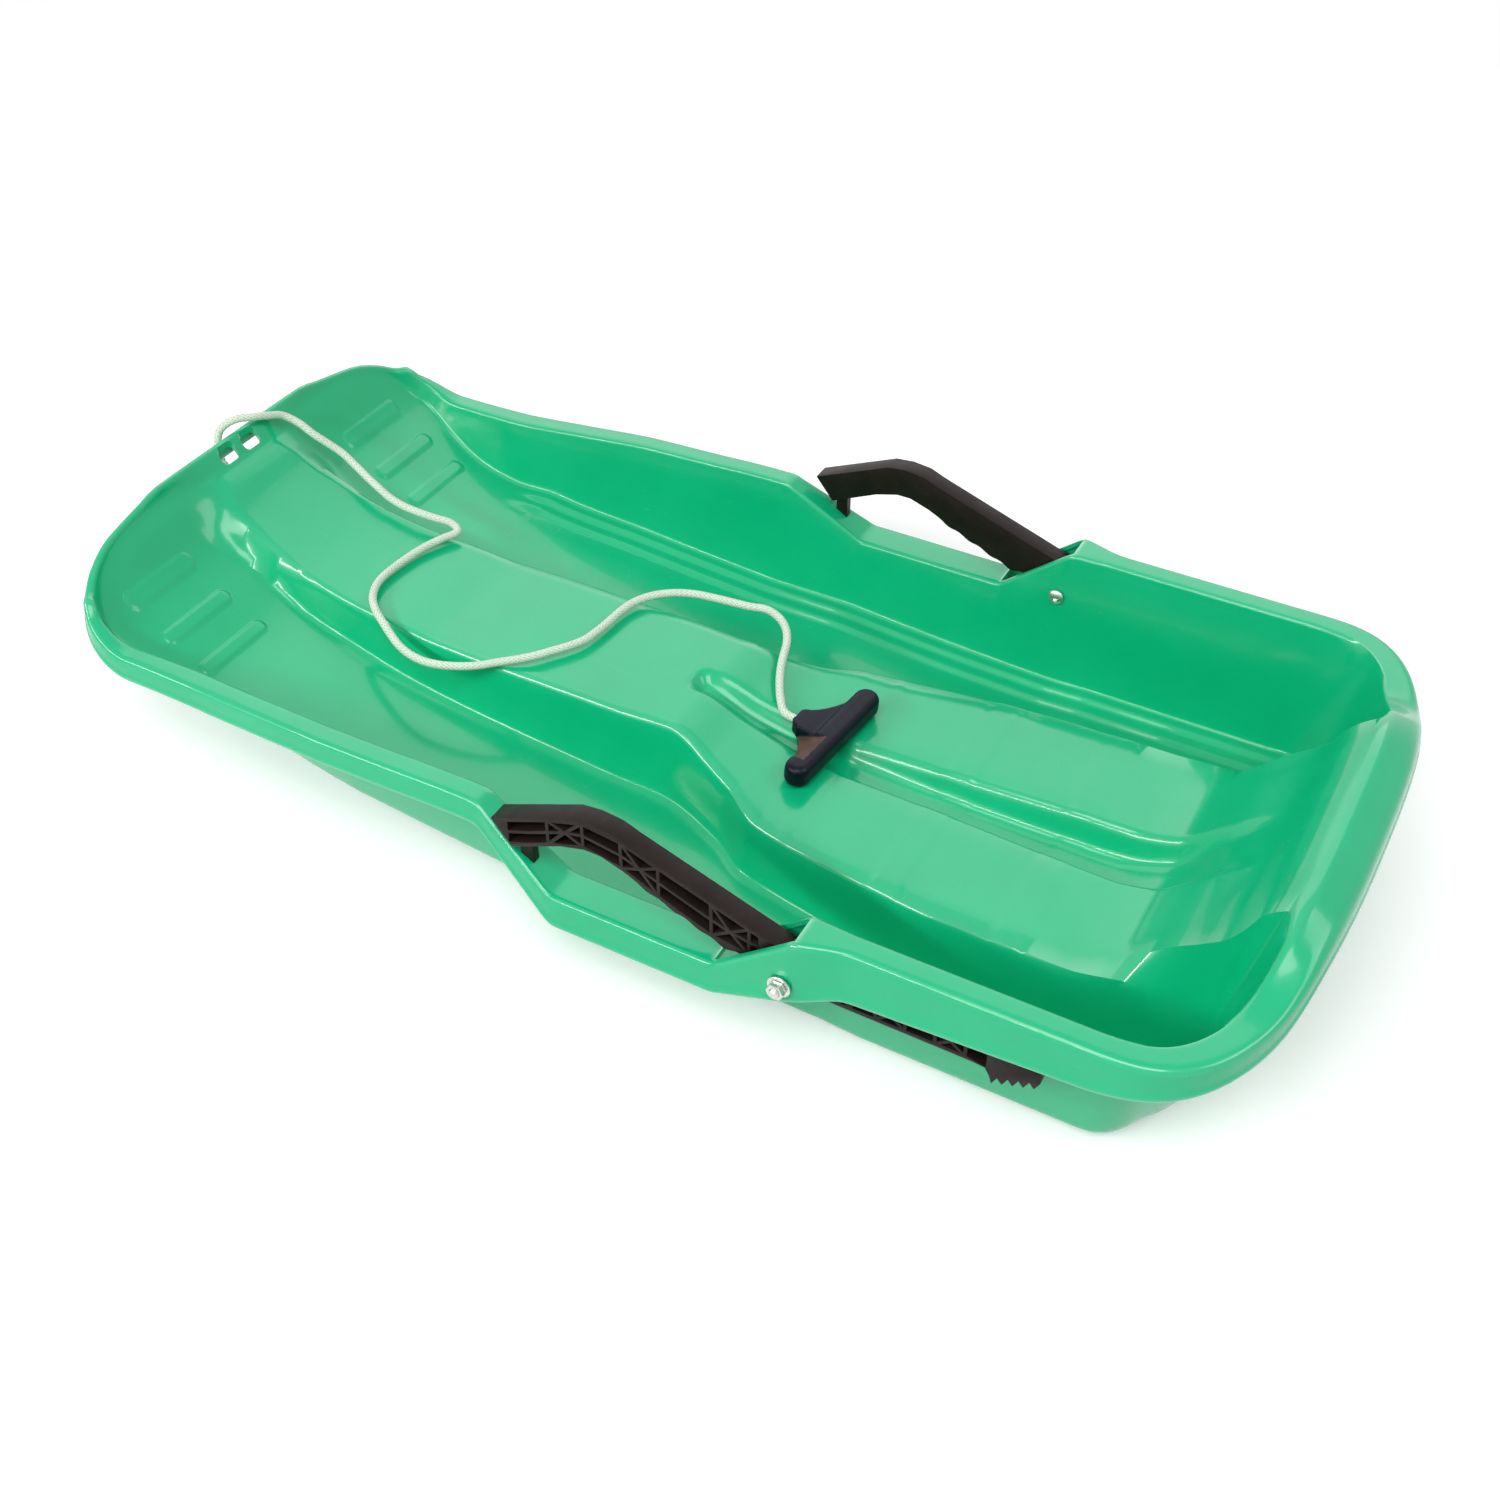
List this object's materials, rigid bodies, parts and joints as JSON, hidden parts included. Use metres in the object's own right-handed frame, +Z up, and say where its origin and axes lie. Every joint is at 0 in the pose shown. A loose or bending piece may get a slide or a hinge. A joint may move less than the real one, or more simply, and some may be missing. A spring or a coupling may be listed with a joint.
{
  "type": "toboggan sled",
  "caption": "Moulded toboggan with a raised seat, foot wells, two hinged brake levers and a tow rope with a T handle.",
  "frame": {"origin": "on the ground plane under the middle of the hull", "axes": "+X to the nose, +Y to the rider's left, +Z up"},
  "size_m": [0.88, 0.478, 0.156],
  "materials": {
    "green_moulding": "glossy bright green polyethylene",
    "black_moulding": "satin black plastic with open ribs",
    "plated_steel": "zinc-plated steel",
    "braided_cord": "off-white braided cord",
    "navy_moulding": "satin navy-black plastic"
  },
  "bodies": {
    "hull": {"hull_shell": "green_moulding", "pivot_bolt_left": "plated_steel", "pivot_bolt_right": "plated_steel", "pivot_washer_left": "plated_steel", "pivot_washer_right": "plated_steel", "pivot_nut_left": "plated_steel", "pivot_nut_right": "plated_steel", "tow_rope": "braided_cord", "nose_knot": "braided_cord", "tow_handle": "navy_moulding"},
    "left_lever": {"brake_lever_left": "black_moulding"},
    "right_lever": {"brake_lever_right": "black_moulding"}
  },
  "joints": [
    {"name": "left_brake_pivot", "type": "hinge", "parent": "hull", "child": "left_lever", "pos_m": [-0.1565, 0.21425, 0.077], "axis": [0, -1, 0], "range_deg": [0, 28]},
    {"name": "right_brake_pivot", "type": "hinge", "parent": "hull", "child": "right_lever", "pos_m": [-0.1565, -0.21425, 0.077], "axis": [0, -1, 0], "range_deg": [0, 28]}
  ]
}
